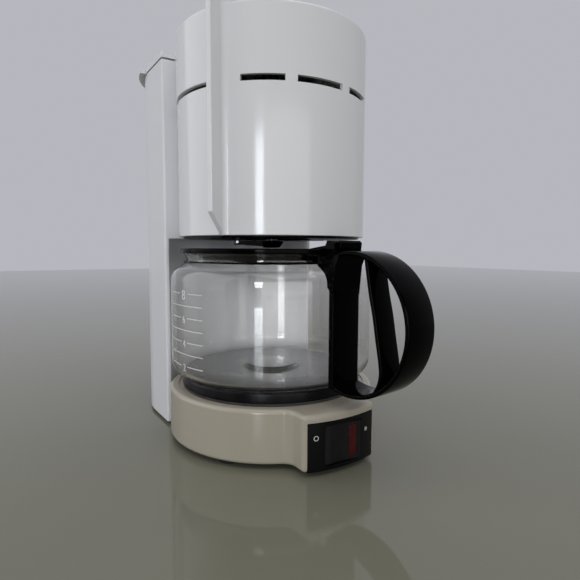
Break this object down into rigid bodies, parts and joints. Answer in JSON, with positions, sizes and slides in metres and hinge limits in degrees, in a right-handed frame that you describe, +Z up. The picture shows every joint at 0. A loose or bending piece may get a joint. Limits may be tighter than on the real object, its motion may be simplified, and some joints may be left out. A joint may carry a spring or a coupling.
{
  "type": "drip coffee maker",
  "caption": "Tall filter drum over a glass jug on a hot plate, with a water tank column behind, a swing-out filter door with a fin grip and a rocker switch on the base.",
  "frame": {"origin": "bottom centre of the whole machine, on the surface it stands on", "axes": "+Z up, -Y the front with the console and the jug handle, +X to the right seen from the front"},
  "size_m": [0.149, 0.2814, 0.29],
  "materials": {
    "white_shell": "glossy",
    "cream_base": "semi-gloss",
    "black_gloss": "glossy",
    "dark_panel": "satin",
    "rocker_dark": "satin",
    "red_lens": "glossy",
    "jug_glass": "clear",
    "plate_black": "satin",
    "foot_rubber": "matte",
    "silicone": "satin",
    "steel": "brushed",
    "cast_alu": "satin",
    "inner_plastic": "matte",
    "lamp_glass": "clear"
  },
  "bodies": {
    "chassis": {"base_housing": "cream_base", "base_cover": "inner_plastic", "rubber_feet": "foot_rubber", "cover_screws": "steel", "console_panel": "dark_panel", "rocker_axle": "steel", "switch_body": "inner_plastic", "indicator_lamp": "lamp_glass", "hot_plate": "plate_black", "plate_seal": "silicone", "flow_heater": "cast_alu", "heating_element": "steel", "heater_strap": "steel", "strap_nut": "steel", "thermostat": "steel", "thermal_fuses": "inner_plastic", "tank_strainer": "inner_plastic", "check_valve": "inner_plastic", "inlet_hose": "silicone", "riser_tube": "silicone", "riser_grommet": "silicone", "tank_column": "white_shell", "column_cover": "inner_plastic", "cord_inlet_bush": "foot_rubber", "terminal_block": "inner_plastic", "lid_pins": "steel", "drum_rear_shell": "white_shell", "brew_cap": "white_shell", "door_hinge_pin": "steel", "shower_head": "inner_plastic", "internal_leads": "silicone"},
    "door_unit": {"filter_door": "white_shell", "filter_carrier": "black_gloss", "filter_basket": "black_gloss", "lever_brackets": "black_gloss", "lever_pin": "steel", "drip_spring": "steel"},
    "drip_stop": {"drip_lever": "black_gloss", "valve_seal": "silicone"},
    "rocker": {"rocker_switch": "rocker_dark", "rocker_lens": "red_lens"},
    "lid_unit": {"tank_lid": "white_shell"},
    "jug": {"carafe_glass": "jug_glass", "neck_band": "steel", "carafe_handle": "black_gloss", "jug_lid_pin": "steel"},
    "jug_lid": {"carafe_lid": "black_gloss"},
    "check_ball": {"valve_ball": "steel"}
  },
  "joints": [
    {"name": "door_swing", "type": "hinge", "parent": "chassis", "child": "door_unit", "pos_m": [0.06027, 0.00362, 0.21], "axis": [0, 0, 1], "range_deg": [0, 90]},
    {"name": "drip_lift", "type": "hinge", "parent": "door_unit", "child": "drip_stop", "pos_m": [-0.02207, 0.00473, 0.1398], "axis": [-0.4695, -0.8829, 0], "range_deg": [0, 3.5], "stiffness_Nm_per_rad": 0.05, "springref_deg": -2.86, "deforming": ["drip_spring"]},
    {"name": "rocker_press", "type": "hinge", "parent": "chassis", "child": "rocker", "pos_m": [0, -0.08751, 0.01765], "axis": [0, 0, 1], "range_deg": [0, 8]},
    {"name": "tank_lid_hinge", "type": "hinge", "parent": "chassis", "child": "lid_unit", "pos_m": [0, 0.03899, 0.2748], "axis": [1, 0, 0], "range_deg": [0, 85]},
    {"name": "jug_pull", "type": "slide", "parent": "chassis", "child": "jug", "axis": [0, -1, 0], "range_m": [0, 0.2]},
    {"name": "jug_lid_hinge", "type": "hinge", "parent": "jug", "child": "jug_lid", "pos_m": [0.00876, -0.08049, 0.136], "axis": [0.993, 0.1184, 0], "range_deg": [0, 2.5]},
    {"name": "check_ball_lift", "type": "slide", "parent": "chassis", "child": "check_ball", "axis": [0, 0, 1], "range_m": [0, 0.0022]}
  ]
}
